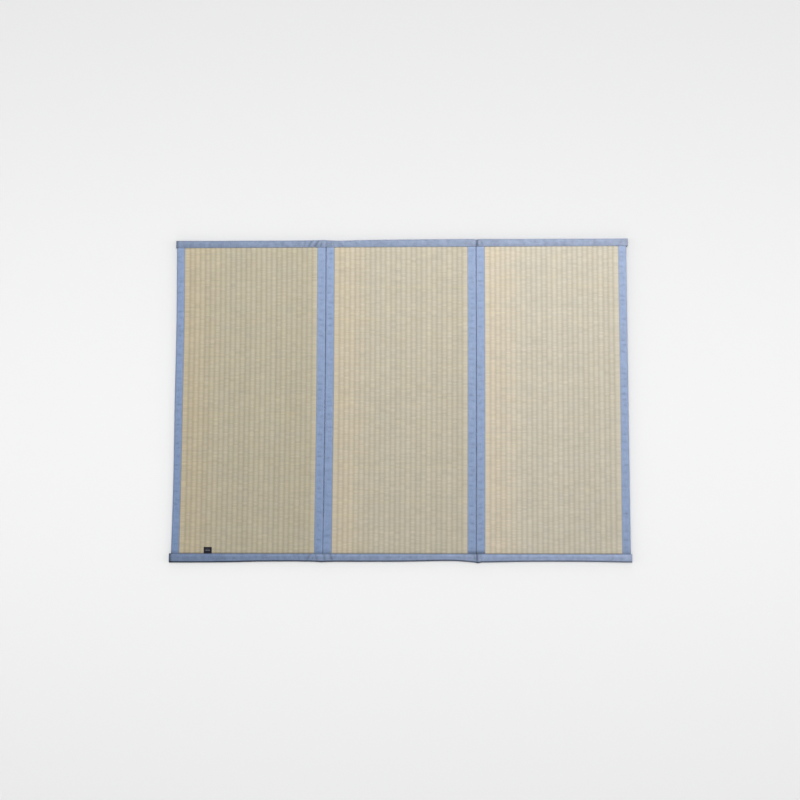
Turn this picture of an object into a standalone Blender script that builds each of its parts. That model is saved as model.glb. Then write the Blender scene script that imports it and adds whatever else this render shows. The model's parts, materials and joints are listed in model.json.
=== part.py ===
# A tatami mat that folds in three: three ribbed rush panels side by side, cloth tape folded round each panel's
# long edges, one long tape folded round all the short ends at the far side and one at the near side, and a small
# sewn-in label. The mat lies open and flat. Metres, +X across the three panels, +Y to the far side, +Z up.

from math import cos, pi, sin, sqrt

import bmesh
import bpy
from mathutils import Vector

MM = 0.001

# Driving dimensions of the rush
RIB_PITCH = 15.0 * MM
RIBS_PER_PANEL = 26
RIB_RISE = 0.8 * MM
RIB_SLOPE = 1.9 * MM
RUSH_DEPTH = 896.0 * MM

# Driving dimensions of the tapes
TAPE_THICKNESS = 1.0 * MM
SIDE_TAPE_WIDTH = 24.5 * MM
FOLD_RADIUS = 3.5 * MM
FOLD_STEPS = 3

# Heights of the tapes' upper faces above the surface that the mat lies on
TAPE_TOP = 9.6 * MM
TUCKED_TAPE_TOP = 9.2 * MM

# Clearances between the pieces
GAP = 0.3 * MM
JOINT_GAP = 0.5 * MM
FLANGE_CLEARANCE = 0.4 * MM
END_CLEARANCE = 1.7 * MM
TUCK_SLOPE = 1.5 * MM
REBATE_STEP = 0.6 * MM
EDGE_CHAMFER = 2.0 * MM
BETWEEN_STATIONS = (-0.25, 0.0, 0.25)

# The bands where they climb over the side tapes, and their closed ends
LIFT_SLOPE = 4.5 * MM
LIFT_MARGIN = 1.0 * MM
JOINT_DIP = 0.35 * MM
JOINT_DIP_REACH = 4.0 * MM
END_SLIT = 0.4 * MM
END_CLOSING_SHARES = (0.5, 0.85, 1.0)
LEAST_STATION_STEP = 0.8 * MM

# The label
LABEL_WIDTH = 23.0 * MM
LABEL_LENGTH = 18.0 * MM
LABEL_THICKNESS = 0.6 * MM
LABEL_FROM_RUSH_EDGE = 72.0 * MM

RUSH_WIDTH = RIB_PITCH * RIBS_PER_PANEL
PANEL_PITCH = RUSH_WIDTH + 2 * SIDE_TAPE_WIDTH + JOINT_GAP
PANELS = (
    {"name": "left", "left_tape": "binding_left_outer", "right_tape": "binding_left_inner"},
    {"name": "middle", "left_tape": "binding_middle_left", "right_tape": "binding_middle_right"},
    {"name": "right", "left_tape": "binding_right_inner", "right_tape": "binding_right_outer"},
)

# How far each line along Y wanders in X, in millimetres: the mat's left edge, its two joints and its right edge,
# at even steps from the near end of the rush to the far end
LINE_DRIFT_MM = (
    {"line": "left edge", "near": -0.9, "quarter": 0.5, "middle": 0.7, "three_quarters": 1.0, "far": -1.8},
    {"line": "joint 1", "near": -1.1, "quarter": 0.2, "middle": 1.1, "three_quarters": 0.7, "far": -0.1},
    {"line": "joint 2", "near": -1.1, "quarter": -0.3, "middle": 0.3, "three_quarters": 0.5, "far": 0.2},
    {"line": "right edge", "near": -0.4, "quarter": -0.2, "middle": 0.3, "three_quarters": -0.1, "far": -0.2},
)
DRIFT_STEPS = {"near": -0.5, "quarter": -0.25, "middle": 0.0, "three_quarters": 0.25, "far": 0.5}

# The two end bands: side is +1 at the far end, and each row of unevenness says how far the fold stands out past
# its straight line and how far the tape puckers up, in millimetres, at an x
BANDS = (
    {
        "name": "band_far",
        "side": 1,
        "width": 21.0 * MM,
        "left_overhang": 4.0 * MM,
        "right_overhang": 3.0 * MM,
        "uneven": (
            {"x": -660, "out": -0.3, "up": 0.0},
            {"x": -470, "out": 0.2, "up": 0.0},
            {"x": -314, "out": 0.0, "up": 0.0},
            {"x": -238, "out": 0.9, "up": 0.3},
            {"x": -227, "out": 1.5, "up": 0.0},
            {"x": -210, "out": 0.4, "up": 0.3},
            {"x": -183, "out": -1.5, "up": 0.0},
            {"x": 0, "out": 0.4, "up": 0.0},
            {"x": 163, "out": 0.1, "up": 0.0},
            {"x": 212, "out": -0.4, "up": 0.1},
            {"x": 221, "out": -1.8, "up": 0.0},
            {"x": 230, "out": -0.2, "up": 0.2},
            {"x": 340, "out": -0.6, "up": 0.0},
            {"x": 466, "out": -1.2, "up": 0.0},
            {"x": 660, "out": -1.8, "up": 0.0},
        ),
    },
    {
        "name": "band_near",
        "side": -1,
        "width": 23.0 * MM,
        "left_overhang": 7.0 * MM,
        "right_overhang": 3.0 * MM,
        "uneven": (
            {"x": -660, "out": 1.2, "up": 0.0},
            {"x": -470, "out": -0.2, "up": 0.0},
            {"x": -314, "out": -0.8, "up": 0.0},
            {"x": -240, "out": 0.6, "up": 0.3},
            {"x": -227, "out": 1.3, "up": 0.0},
            {"x": -208, "out": 0.6, "up": 0.3},
            {"x": -183, "out": 0.1, "up": 0.0},
            {"x": 0, "out": -0.8, "up": 0.0},
            {"x": 163, "out": -1.7, "up": 0.0},
            {"x": 209, "out": 0.4, "up": 0.2},
            {"x": 219, "out": 3.0, "up": 0.0},
            {"x": 231, "out": 1.2, "up": 0.2},
            {"x": 250, "out": 1.5, "up": 0.0},
            {"x": 466, "out": 0.5, "up": 0.0},
            {"x": 660, "out": -0.1, "up": 0.0},
        ),
    },
)

# Heights that follow from the ones above: each piece of tape with the space inside it
TUCKED_TAPE_BOTTOM = TAPE_THICKNESS + GAP
REBATE_BOTTOM = TAPE_THICKNESS + GAP
REBATE_TOP = TAPE_TOP - TAPE_THICKNESS - GAP
CORNER_REBATE_BOTTOM = TUCKED_TAPE_BOTTOM + TAPE_THICKNESS + GAP
CORNER_REBATE_TOP = TUCKED_TAPE_TOP - TAPE_THICKNESS - GAP
RIB_TOP = REBATE_TOP + RIB_RISE
BAND_LIFT = TUCKED_TAPE_TOP + GAP + TAPE_THICKNESS - TAPE_TOP
BAND_INNER_Y = RUSH_DEPTH / 2


def interpolate(position, places, values):
    # Value at a position on a polyline, held level past its ends
    if position <= places[0]:
        return values[0]
    for start, end, value, next_value in zip(places, places[1:], values, values[1:]):
        if position <= end:
            return value + (position - start) / (end - start) * (next_value - value)
    return values[-1]


def line_x(index, y):
    # X of a line along Y, numbered from the mat's left edge to its right edge
    row = LINE_DRIFT_MM[index]
    drift = interpolate(y / RUSH_DEPTH, list(DRIFT_STEPS.values()), [row[step] for step in DRIFT_STEPS])
    return (index - len(PANELS) / 2) * PANEL_PITCH + drift * MM


def band_uneven(band, column, x):
    # How far a band stands out, or puckers up, at x
    rows = band["uneven"]
    return interpolate(x / MM, [row["x"] for row in rows], [row[column] for row in rows]) * MM


def band_inner_y(band):
    return band["side"] * BAND_INNER_Y


def make_material(name, colour, roughness):
    material = bpy.data.materials.new(name)
    material.use_nodes = True
    shader = material.node_tree.nodes["Principled BSDF"]
    shader.inputs["Base Color"].default_value = (*colour, 1.0)
    shader.inputs["Roughness"].default_value = roughness
    shader.inputs["Metallic"].default_value = 0.0
    return material


def make_collection():
    collection = bpy.data.collections.new("Tatami mat")
    bpy.context.scene.collection.children.link(collection)
    return collection


def add_body(name, form, material, origin):
    # Closes a bmesh into an object whose own origin is at the given place
    bmesh.ops.recalc_face_normals(form, faces=form.faces)
    bmesh.ops.translate(form, verts=form.verts, vec=-origin)
    mesh = bpy.data.meshes.new(name)
    form.to_mesh(mesh)
    form.free()
    mesh.materials.append(material)
    body = bpy.data.objects.new(name, mesh)
    body.location = origin
    return body


def loft(sections):
    # One closed body through sections of equally many points: the first one is extruded to each of the others
    form = bmesh.new()
    start = [form.verts.new(point) for point in sections[0]]
    end = form.faces.new(start)
    for section in sections[1:]:
        end = bmesh.ops.extrude_discrete_faces(form, faces=[end])["faces"][0]
        for vert, point in zip(end.verts, section):
            vert.co = point
    form.faces.new(reversed(start))
    return form


def fold_path(reach, middle, half, radius):
    # Tape folded round an edge, as (reach, height) pairs: along the upper flange, round the fold, back below
    path = [(0.0, middle + half)]
    height = min(radius, half)
    for side in (1, -1):
        for step in range(FOLD_STEPS + 1):
            turn = step / FOLD_STEPS * pi / 2
            angle = pi / 2 - turn if side == 1 else -turn
            rise = side * (half - height) + height * sin(angle)
            path.append((reach - radius + radius * cos(angle), middle + rise))
    path.append((0.0, middle - half))
    return path


def folded_tape(reach, bottom, top, space):
    # Closed section of a folded tape between two heights, with the given height of space inside it
    middle = (bottom + top) / 2
    outer = fold_path(reach, middle, (top - bottom) / 2, FOLD_RADIUS)
    inner = fold_path(reach - TAPE_THICKNESS, middle, space / 2, FOLD_RADIUS - TAPE_THICKNESS)
    return outer + inner[::-1]


def panel_end(band):
    # The three sections at one end of a panel, from its cut end inwards to where it comes out of the band
    least_out = min(row["out"] for row in band["uneven"]) * MM
    cut = BAND_INNER_Y + band["width"] + least_out - TAPE_THICKNESS - END_CLEARANCE
    tuck = BAND_INNER_Y - FLANGE_CLEARANCE
    return [
        {"y": band["side"] * cut, "tucked": True},
        {"y": band["side"] * tuck, "tucked": True},
        {"y": band["side"] * (tuck - TUCK_SLOPE), "tucked": False},
    ]


def panel_stations():
    # Every section along a panel and its side tapes, from the near end to the far end
    far_end, near_end = (panel_end(band) for band in BANDS)
    between = [{"y": share * RUSH_DEPTH, "tucked": False} for share in BETWEEN_STATIONS]
    return near_end + between + far_end[::-1]


def panel_section(index, station):
    # Outline of a panel across its width: thinner edges for the side tapes, and ribs on top between them
    y = station["y"]
    tucked = station["tucked"]
    edge_low = CORNER_REBATE_BOTTOM if tucked else REBATE_BOTTOM
    edge_high = CORNER_REBATE_TOP if tucked else REBATE_TOP
    field_low = REBATE_BOTTOM if tucked else 0.0
    rib_high = REBATE_TOP if tucked else RIB_TOP
    inset = JOINT_GAP / 2 + TAPE_THICKNESS + GAP
    step = JOINT_GAP / 2 + SIDE_TAPE_WIDTH + FLANGE_CLEARANCE
    left = line_x(index, y) + inset
    right = line_x(index + 1, y) - inset
    left_step = line_x(index, y) + step
    right_step = line_x(index + 1, y) - step
    field_left = left_step + REBATE_STEP
    field_right = right_step - REBATE_STEP
    pitch = (field_right - field_left) / RIBS_PER_PANEL

    outline = [(left, edge_low + EDGE_CHAMFER), (left, edge_high - EDGE_CHAMFER)]
    outline += [(left + EDGE_CHAMFER, edge_high), (left_step, edge_high)]
    for rib in range(RIBS_PER_PANEL):
        valley = field_left + rib * pitch
        outline += [(valley, REBATE_TOP), (valley + RIB_SLOPE, rib_high)]
        outline.append((valley + pitch - RIB_SLOPE, rib_high))
    outline += [(field_right, REBATE_TOP), (right_step, edge_high)]
    outline += [(right - EDGE_CHAMFER, edge_high), (right, edge_high - EDGE_CHAMFER)]
    outline += [(right, edge_low + EDGE_CHAMFER), (right - EDGE_CHAMFER, edge_low)]
    outline += [(right_step, edge_low), (field_right, field_low)]
    outline += [(field_left, field_low), (left_step, edge_low), (left + EDGE_CHAMFER, edge_low)]
    return [Vector((x, y, z)) for x, z in outline]


def side_tape_section(line, side, station):
    # Tape folded round a panel's long edge at a line; side is +1 where the fold is on the tape's right
    y = station["y"]
    fold = line_x(line, y) - side * JOINT_GAP / 2
    bottom = TUCKED_TAPE_BOTTOM if station["tucked"] else 0.0
    top = TUCKED_TAPE_TOP if station["tucked"] else TAPE_TOP
    profile = folded_tape(SIDE_TAPE_WIDTH, bottom, top, top - bottom - 2 * TAPE_THICKNESS)
    return [Vector((fold - side * (SIDE_TAPE_WIDTH - reach), y, z)) for reach, z in profile]


def band_stations(band):
    # X of every section along a band: where it climbs over side tapes, where it is uneven, and its closed ends
    y = band_inner_y(band)
    left_edge = line_x(0, y)
    right_edge = line_x(len(PANELS), y)
    places = [left_edge, right_edge]
    for line in range(len(PANELS) + 1):
        for side in (-1, 1):
            foot = JOINT_GAP / 2 + SIDE_TAPE_WIDTH + LIFT_MARGIN
            places += [line_x(line, y) + side * reach for reach in (JOINT_DIP_REACH, foot, foot + LIFT_SLOPE)]
    places += [row["x"] * MM for row in band["uneven"]]
    inside = sorted(x for x in places if left_edge <= x <= right_edge)
    spaced = [x for x, following in zip(inside, inside[1:]) if following - x > LEAST_STATION_STEP]
    left_end = [left_edge - share * band["left_overhang"] for share in END_CLOSING_SHARES]
    right_end = [right_edge + share * band["right_overhang"] for share in END_CLOSING_SHARES]
    return left_end[::-1] + spaced + [right_edge] + right_end


def band_top(band, x):
    # Height of a band's upper face at x
    y = band_inner_y(band)
    foot = JOINT_GAP / 2 + SIDE_TAPE_WIDTH + LIFT_MARGIN
    distances = [abs(x - line_x(line, y)) for line in range(len(PANELS) + 1)]
    nearest = min(distances)
    climb = interpolate(nearest, (foot, foot + LIFT_SLOPE), (1.0, 0.0))
    at_joint = distances.index(nearest) in range(1, len(PANELS))
    dip = interpolate(nearest, (0.0, JOINT_DIP_REACH), (JOINT_DIP, 0.0)) if at_joint else 0.0
    return TAPE_TOP + climb * BAND_LIFT - dip + band_uneven(band, "up", x)


def band_section(band, x):
    # Band folded round the panels' ends; past the outer side tapes it rounds off and closes
    y = band_inner_y(band)
    past_left = (line_x(0, y) - x) / band["left_overhang"]
    past_right = (x - line_x(len(PANELS), y)) / band["right_overhang"]
    closing = min(max(past_left, past_right, 0.0), 1.0)
    openness = sqrt(1.0 - closing * closing)
    full_top = band_top(band, x)
    space = END_SLIT + openness * (full_top - 2 * TAPE_THICKNESS - END_SLIT)
    middle = full_top / 2
    bottom = middle - space / 2 - TAPE_THICKNESS
    top = middle + space / 2 + TAPE_THICKNESS
    profile = folded_tape(band["width"] + band_uneven(band, "out", x), bottom, top, space)
    return [Vector((x, y + band["side"] * reach, z)) for reach, z in profile]


def build_panels(rush):
    stations = panel_stations()
    for index, panel in enumerate(PANELS):
        form = loft([panel_section(index, station) for station in stations])
        yield add_body("rush_panel_" + panel["name"], form, rush, Vector((panel_middle(index), 0.0, 0.0)))


def build_side_tapes(cloth):
    stations = panel_stations()
    for index, panel in enumerate(PANELS):
        for name, line, side in ((panel["left_tape"], index, -1), (panel["right_tape"], index + 1, 1)):
            form = loft([side_tape_section(line, side, station) for station in stations])
            yield add_body(name, form, cloth, Vector((line_x(line, 0.0), 0.0, 0.0)))


def build_bands(cloth):
    for band in BANDS:
        form = loft([band_section(band, x) for x in band_stations(band)])
        yield add_body(band["name"], form, cloth, Vector((0.0, band_inner_y(band), 0.0)))


def build_label(weave):
    near_y = -BAND_INNER_Y
    left = line_x(0, near_y) + JOINT_GAP / 2 + SIDE_TAPE_WIDTH + LABEL_FROM_RUSH_EDGE
    base = Vector((left + LABEL_WIDTH / 2, near_y + FLANGE_CLEARANCE + LABEL_LENGTH / 2, RIB_TOP + GAP))
    form = bmesh.new()
    bmesh.ops.create_cube(form, size=1.0)
    bmesh.ops.scale(form, verts=form.verts, vec=(LABEL_WIDTH, LABEL_LENGTH, LABEL_THICKNESS))
    bmesh.ops.translate(form, verts=form.verts, vec=base + Vector((0.0, 0.0, LABEL_THICKNESS / 2)))
    return add_body("label", form, weave, base)


def panel_middle(index):
    return (line_x(index, 0.0) + line_x(index + 1, 0.0)) / 2


def centre_on_origin(bodies):
    # Parents every body to an empty that brings the middle of the mat's outline to the origin
    corners = [body.location + vert.co for body in bodies for vert in body.data.vertices]
    low = Vector([min(corner[axis] for corner in corners) for axis in range(3)])
    high = Vector([max(corner[axis] for corner in corners) for axis in range(3)])
    middle = (low + high) / 2
    anchor = bpy.data.objects.new("mat_middle", None)
    anchor.location = (-middle.x, -middle.y, -low.z)
    for body in bodies:
        body.parent = anchor
    return anchor


def build_mat():
    for existing in list(bpy.data.objects):
        bpy.data.objects.remove(existing)
    rush = make_material("Woven rush", (0.56, 0.48, 0.36), 0.62)
    cloth = make_material("Blue cloth", (0.28, 0.38, 0.59), 0.85)
    weave = make_material("Dark label cloth", (0.02, 0.02, 0.035), 0.8)
    bodies = [*build_panels(rush), *build_side_tapes(cloth), *build_bands(cloth), build_label(weave)]
    collection = make_collection()
    collection.objects.link(centre_on_origin(bodies))
    for body in bodies:
        collection.objects.link(body)


build_mat()
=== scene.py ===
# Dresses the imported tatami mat: three ribbed woven rush panels, blue cloth tape folded round their long
# edges, one long band folded round the short ends at each side, and a small sewn-in label.
# Metres, +X across the three panels, +Y to the far side, +Z up.

import json
from math import cos, exp, pi, sin, sqrt
from random import Random

import bmesh
import bpy
from mathutils import Matrix, Vector, noise

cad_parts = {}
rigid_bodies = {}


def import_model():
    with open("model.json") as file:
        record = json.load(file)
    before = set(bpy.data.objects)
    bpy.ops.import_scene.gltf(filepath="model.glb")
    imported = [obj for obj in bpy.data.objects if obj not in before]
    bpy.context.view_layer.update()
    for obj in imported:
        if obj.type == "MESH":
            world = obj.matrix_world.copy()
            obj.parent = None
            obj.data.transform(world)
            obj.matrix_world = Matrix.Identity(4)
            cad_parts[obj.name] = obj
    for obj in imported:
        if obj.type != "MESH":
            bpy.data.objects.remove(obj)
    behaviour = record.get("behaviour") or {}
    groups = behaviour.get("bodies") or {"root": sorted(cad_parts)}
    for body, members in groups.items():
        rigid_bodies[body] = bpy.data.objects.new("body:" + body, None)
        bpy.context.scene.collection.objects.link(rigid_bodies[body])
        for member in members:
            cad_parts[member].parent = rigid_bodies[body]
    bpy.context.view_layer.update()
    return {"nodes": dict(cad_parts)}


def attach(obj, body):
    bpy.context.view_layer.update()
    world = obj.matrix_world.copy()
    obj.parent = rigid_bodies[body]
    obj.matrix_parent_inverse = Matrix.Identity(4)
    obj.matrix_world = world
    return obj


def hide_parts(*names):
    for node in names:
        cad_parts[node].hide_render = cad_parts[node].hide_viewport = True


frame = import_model()
print("Frame loaded,", len(frame["nodes"]), "nodes")

matLayout = {
    "panels": 3,
    "ribs": 26,
    "rushDepth": 0.896,  # between the inner edges of the two bands
    "panelPitch": 0.4395,
    "tapeWidth": 0.0245,
    "jointGap": 0.0005,
    "middle": (0.00255, 0.00175),  # where the middle panel's own centre lies in the frame
    "driftSpots": (-0.5, -0.25, 0.0, 0.25, 0.5),  # shares of the depth, near to far
    "lineDrift": (  # how far each line along Y wanders: left edge, two joints, right edge
        (-0.0009, 0.0005, 0.0007, 0.0010, -0.0018),
        (-0.0011, 0.0002, 0.0011, 0.0007, -0.0001),
        (-0.0011, -0.0003, 0.0003, 0.0005, 0.0002),
        (-0.0004, -0.0002, 0.0003, -0.0001, -0.0002),
    ),
}


# ---- layout shared by the pieces

def smoothValue(position, places, values):
    # value at a position on a smooth curve through the given values, held level past its ends
    if position <= places[0]:
        return values[0]
    if position >= places[-1]:
        return values[-1]
    spot = 0
    while places[spot + 1] < position:
        spot += 1
    span = places[spot + 1] - places[spot]
    share = (position - places[spot]) / span
    slopes = []
    for end in (spot, spot + 1):
        before = max(end - 1, 0)
        after = min(end + 1, len(places) - 1)
        slopes.append((values[after] - values[before]) / (places[after] - places[before]) * span)
    rest = 1.0 - share
    first = values[spot] * (1.0 + 2.0 * share) * rest * rest + slopes[0] * share * rest * rest
    second = values[spot + 1] * (3.0 - 2.0 * share) * share * share
    return first + second - slopes[1] * rest * share * share


def ramp(position, low, high):
    # 0 below low, 1 above high, eased between them
    share = min(max((position - low) / (high - low), 0.0), 1.0)
    return share * share * (3.0 - 2.0 * share)


def bell(position, middle, reach):
    return exp(-((position - middle) / reach) ** 2)


def alongDepth(y, values):
    return smoothValue(y / matLayout["rushDepth"], matLayout["driftSpots"], values)


def lineX(index, y):
    drift = alongDepth(y, matLayout["lineDrift"][index])
    return (index - matLayout["panels"] / 2) * matLayout["panelPitch"] + drift


def addObject(name, form, material):
    mesh = bpy.data.meshes.new(name)
    form.to_mesh(mesh)
    form.free()
    mesh.materials.append(material)
    thing = bpy.data.objects.new(name, mesh)
    bpy.context.scene.collection.objects.link(thing)
    return thing


def finishPiece(name, form, material, node=None):
    # closes a bmesh into a piece whose object sits at the origin
    bmesh.ops.recalc_face_normals(form, faces=form.faces)
    bmesh.ops.translate(form, verts=form.verts, vec=(*matLayout["middle"], 0.0))
    piece = addObject(name, form, material)
    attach(piece, "root")
    if node:
        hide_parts(node)
    return piece


def loftSections(sections, spots):
    # one closed body: the first section is a face, extruded to each of the others; spots feed the weave
    form = bmesh.new()
    weave = form.verts.layers.float_vector.new("weave")
    start = [form.verts.new(point) for point in sections[0]]
    end = form.faces.new(start)
    for vert, spot in zip(start, spots[0]):
        vert[weave] = spot
    for section, sectionSpots in zip(sections[1:], spots[1:]):
        end = bmesh.ops.extrude_discrete_faces(form, faces=[end])["faces"][0]
        for vert, point, spot in zip(end.verts, section, sectionSpots, strict=True):
            vert.co = point
            vert[weave] = spot
    form.faces.new(reversed(start))
    for face in form.faces:
        face.smooth = len(face.verts) == 4
    return form


# ---- shader helpers

def addNode(tree, kind, **settings):
    node = tree.nodes.new("ShaderNode" + kind)
    for name, value in settings.items():
        setattr(node, name, value)
    return node


def connect(tree, socket, value):
    if isinstance(value, bpy.types.NodeSocket):
        tree.links.new(value, socket)
    else:
        socket.default_value = value


def mathNode(tree, operation, *values):
    node = addNode(tree, "Math", operation=operation)
    for socket, value in zip(node.inputs, values):
        connect(tree, socket, value)
    return node.outputs[0]


def rangeNode(tree, value, fromLow, fromHigh, toLow, toHigh, smooth=False):
    node = addNode(tree, "MapRange", interpolation_type="SMOOTHSTEP" if smooth else "LINEAR")
    for name, given in (
        ("Value", value),
        ("From Min", fromLow),
        ("From Max", fromHigh),
        ("To Min", toLow),
        ("To Max", toHigh),
    ):
        connect(tree, node.inputs[name], given)
    return node.outputs["Result"]


def mixColours(tree, blend, factor, first, second):
    node = addNode(tree, "Mix", data_type="RGBA", blend_type=blend)
    connect(tree, node.inputs[0], factor)
    connect(tree, node.inputs[6], first)
    connect(tree, node.inputs[7], second)
    return node.outputs[2]


def vectorNode(tree, x, y, z=0.0):
    node = addNode(tree, "CombineXYZ")
    for socket, value in zip(node.inputs, (x, y, z)):
        connect(tree, socket, value)
    return node.outputs[0]


def splitVector(tree, vector):
    node = addNode(tree, "SeparateXYZ")
    connect(tree, node.inputs[0], vector)
    return node.outputs


def greyNode(tree, value):
    node = addNode(tree, "CombineColor")
    for socket in node.inputs:
        connect(tree, socket, value)
    return node.outputs[0]


def multiplyColours(tree, first, second):
    return mixColours(tree, "MULTIPLY", 1.0, first, second)


def oneInEach(tree, x, y):
    # an even random value for each whole x and y
    node = addNode(tree, "TexWhiteNoise", noise_dimensions="2D")
    connect(tree, node.inputs["Vector"], vectorNode(tree, x, y))
    return node.outputs["Value"]


def slowDrift(tree, x, y):
    node = addNode(tree, "TexNoise", noise_dimensions="2D")
    connect(tree, node.inputs["Vector"], vectorNode(tree, x, y))
    node.inputs["Scale"].default_value = 1.0
    node.inputs["Detail"].default_value = 1.0
    return mathNode(tree, "SUBTRACT", node.outputs["Fac"], 0.5)


def roundWave(tree, value):
    # 0 at every whole value and 1 half way between
    return mathNode(tree, "ABSOLUTE", mathNode(tree, "SINE", mathNode(tree, "MULTIPLY", value, pi)))


def newMaterial(name):
    material = bpy.data.materials.new(name)
    material.use_nodes = True
    return material, material.node_tree.nodes["Principled BSDF"]


def weavePlace(tree):
    # the piece's own flat coordinates, kept at its points
    return addNode(tree, "Attribute", attribute_name="weave").outputs["Vector"]


def addBump(tree, shader, height, strength, distance):
    bump = addNode(tree, "Bump")
    bump.inputs["Strength"].default_value = strength
    bump.inputs["Distance"].default_value = distance
    connect(tree, bump.inputs["Height"], height)
    connect(tree, shader.inputs["Normal"], bump.outputs["Normal"])


def newGroup(name, inputs, outputs):
    group = bpy.data.node_groups.new(name, "ShaderNodeTree")
    for inOut, sockets in (("INPUT", inputs), ("OUTPUT", outputs)):
        for socketName, kind, value in sockets:
            socket = group.interface.new_socket(socketName, in_out=inOut, socket_type="NodeSocket" + kind)
            if value is not None:
                socket.default_value = value
    entry = group.nodes.new("NodeGroupInput")
    leave = group.nodes.new("NodeGroupOutput")
    return group, entry.outputs, leave.inputs


def placeGroup(tree, group, **values):
    node = addNode(tree, "Group", node_tree=group)
    for name, value in values.items():
        connect(tree, node.inputs[name], value)
    return node


def makeUnevenTone():
    # slow light and dark patches, and slow drifts between a cooler and a warmer tint
    group, given, out = newGroup(
        "uneven tone",
        (
            ("Place", "Vector", None),
            ("Scale", "Float", 20.0),
            ("Light", "Float", 0.05),
            ("Tint", "Float", 0.03),
        ),
        (("Colour", "Color", None),),
    )
    patches = addNode(group, "TexNoise", noise_dimensions="3D")
    connect(group, patches.inputs["Vector"], given["Place"])
    connect(group, patches.inputs["Scale"], given["Scale"])
    patches.inputs["Detail"].default_value = 3.0
    patches.inputs["Roughness"].default_value = 0.6
    lightness = mathNode(group, "SUBTRACT", patches.outputs["Fac"], 0.5)
    lightness = mathNode(group, "MULTIPLY", lightness, given["Light"])
    lightness = mathNode(group, "MULTIPLY_ADD", lightness, 4.0, 1.0)
    tints = addNode(group, "TexNoise", noise_dimensions="3D")
    shifted = addNode(group, "VectorMath", operation="ADD")
    connect(group, shifted.inputs[0], given["Place"])
    shifted.inputs[1].default_value = (4.0, 7.0, 2.0)
    connect(group, tints.inputs["Vector"], shifted.outputs[0])
    connect(group, tints.inputs["Scale"], mathNode(group, "MULTIPLY", given["Scale"], 0.8))
    tints.inputs["Detail"].default_value = 1.0
    tint = mathNode(group, "SUBTRACT", tints.outputs["Fac"], 0.5)
    tint = mathNode(group, "MULTIPLY", tint, given["Tint"])
    tint = mathNode(group, "MULTIPLY", tint, 4.0)
    colour = addNode(group, "CombineColor")
    connect(group, colour.inputs[0], mathNode(group, "MULTIPLY_ADD", tint, 0.5, lightness))
    connect(group, colour.inputs[1], mathNode(group, "MULTIPLY_ADD", tint, 0.1, lightness))
    connect(group, colour.inputs[2], mathNode(group, "MULTIPLY_ADD", tint, -0.9, lightness))
    connect(group, out["Colour"], colour.outputs[0])
    return group


def makePlainWeave():
    # plain cloth weave on its own flat coordinates: threads pass over and under in turn
    group, given, out = newGroup(
        "plain weave",
        (("Place", "Vector", None), ("Thread", "Float", 0.0006)),
        (("Height", "Float", None), ("Across", "Float", None), ("Slub", "Float", None)),
    )
    place = splitVector(group, given["Place"])
    along = mathNode(group, "DIVIDE", place[0], given["Thread"])
    across = mathNode(group, "DIVIDE", place[1], given["Thread"])
    longThread = mathNode(group, "FLOOR", across)
    turn = mathNode(group, "ADD", mathNode(group, "FLOOR", along), longThread)
    over = mathNode(group, "ABSOLUTE", mathNode(group, "MODULO", turn, 2.0))
    crossing = mathNode(group, "MULTIPLY", roundWave(group, along), roundWave(group, across))
    connect(group, out["Height"], mathNode(group, "POWER", crossing, 0.5))
    connect(group, out["Across"], over)
    stretch = mathNode(group, "FLOOR", mathNode(group, "MULTIPLY", along, 0.03))
    connect(group, out["Slub"], oneInEach(group, longThread, stretch))
    return group


def makePaintedSheen():
    # painted light: the cloth is made paler towards its right and far sides, standing in for a soft sheen
    # from the far right
    group, given, out = newGroup(
        "painted sheen",
        (("Place", "Vector", None), ("Right", "Float", 0.3), ("Far", "Float", 0.1)),
        (("Mask", "Float", None),),
    )
    place = splitVector(group, given["Place"])
    across = rangeNode(group, place[0], -0.66, 0.66, 0.0, 1.0)
    along = rangeNode(group, place[1], -0.47, 0.47, 0.0, 1.0)
    right = mathNode(group, "MULTIPLY", across, given["Right"])
    connect(group, out["Mask"], mathNode(group, "MULTIPLY_ADD", along, given["Far"], right))
    return group


unevenTone = makeUnevenTone()
paintedSheen = makePaintedSheen()
plainWeave = makePlainWeave()

# ---- rush panels

rushPanel = {
    "stalkPitch": 0.00215,
    "pointSpots": (0.0, 0.14, 0.5, 0.86),  # where the points stand across a rib
    "archHeights": (0.0, 0.88, 1.0, 0.88),
    "valleyHeight": 0.0083,
    "ribRise": 0.00076,
    "fullness": 0.00026,  # how much higher the middle stands than the sewn-down edges
    "easeReach": 0.015,
    "stalkRelief": 0.00021,
    "stalkUneven": 0.00006,
    "stalkSlip": 0.00012,
    "ribLean": 0.00006,
    "underTapeTop": 0.0081,
    "cornerTop": 0.0077,
    "tuckedTop": 0.00805,
    "cutDrop": 0.0006,  # how much lower the cut ends lie, inside the bands
    "cornerBottom": 0.0026,
    "underTape": 0.0013,
    "tapeGap": 0.00025,
    "edgeStep": 0.0005,
    "sideInset": 0.0037,
    "tuck": 0.4476,  # the rush runs in under the bands from here
    "ribsEnd": 0.4461,
    "cutNear": 0.4666,
    "cutFar": 0.4645,
    "cutSize": (0.438, 0.931),
}

rushFinish = {
    "leftColour": (0.4800, 0.4290, 0.3190, 1.0),  # painted light: the panels are paler from the left one to the right one, standing in for a sheen that grows to the right
    "rightColour": (0.5700, 0.5180, 0.4220, 1.0),
    "rootTint": (1.07, 1.03, 0.985, 1.0),
    "courseTone": 0.05,
    "valleyShade": 0.835,
    "stalkTone": 0.10,
    "bundleTone": 0.16,
    "ribTone": 0.05,
    "roughness": 0.6,
    "panelSeries": 40,  # rib numbers go up by this from one panel to the next
}


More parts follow.
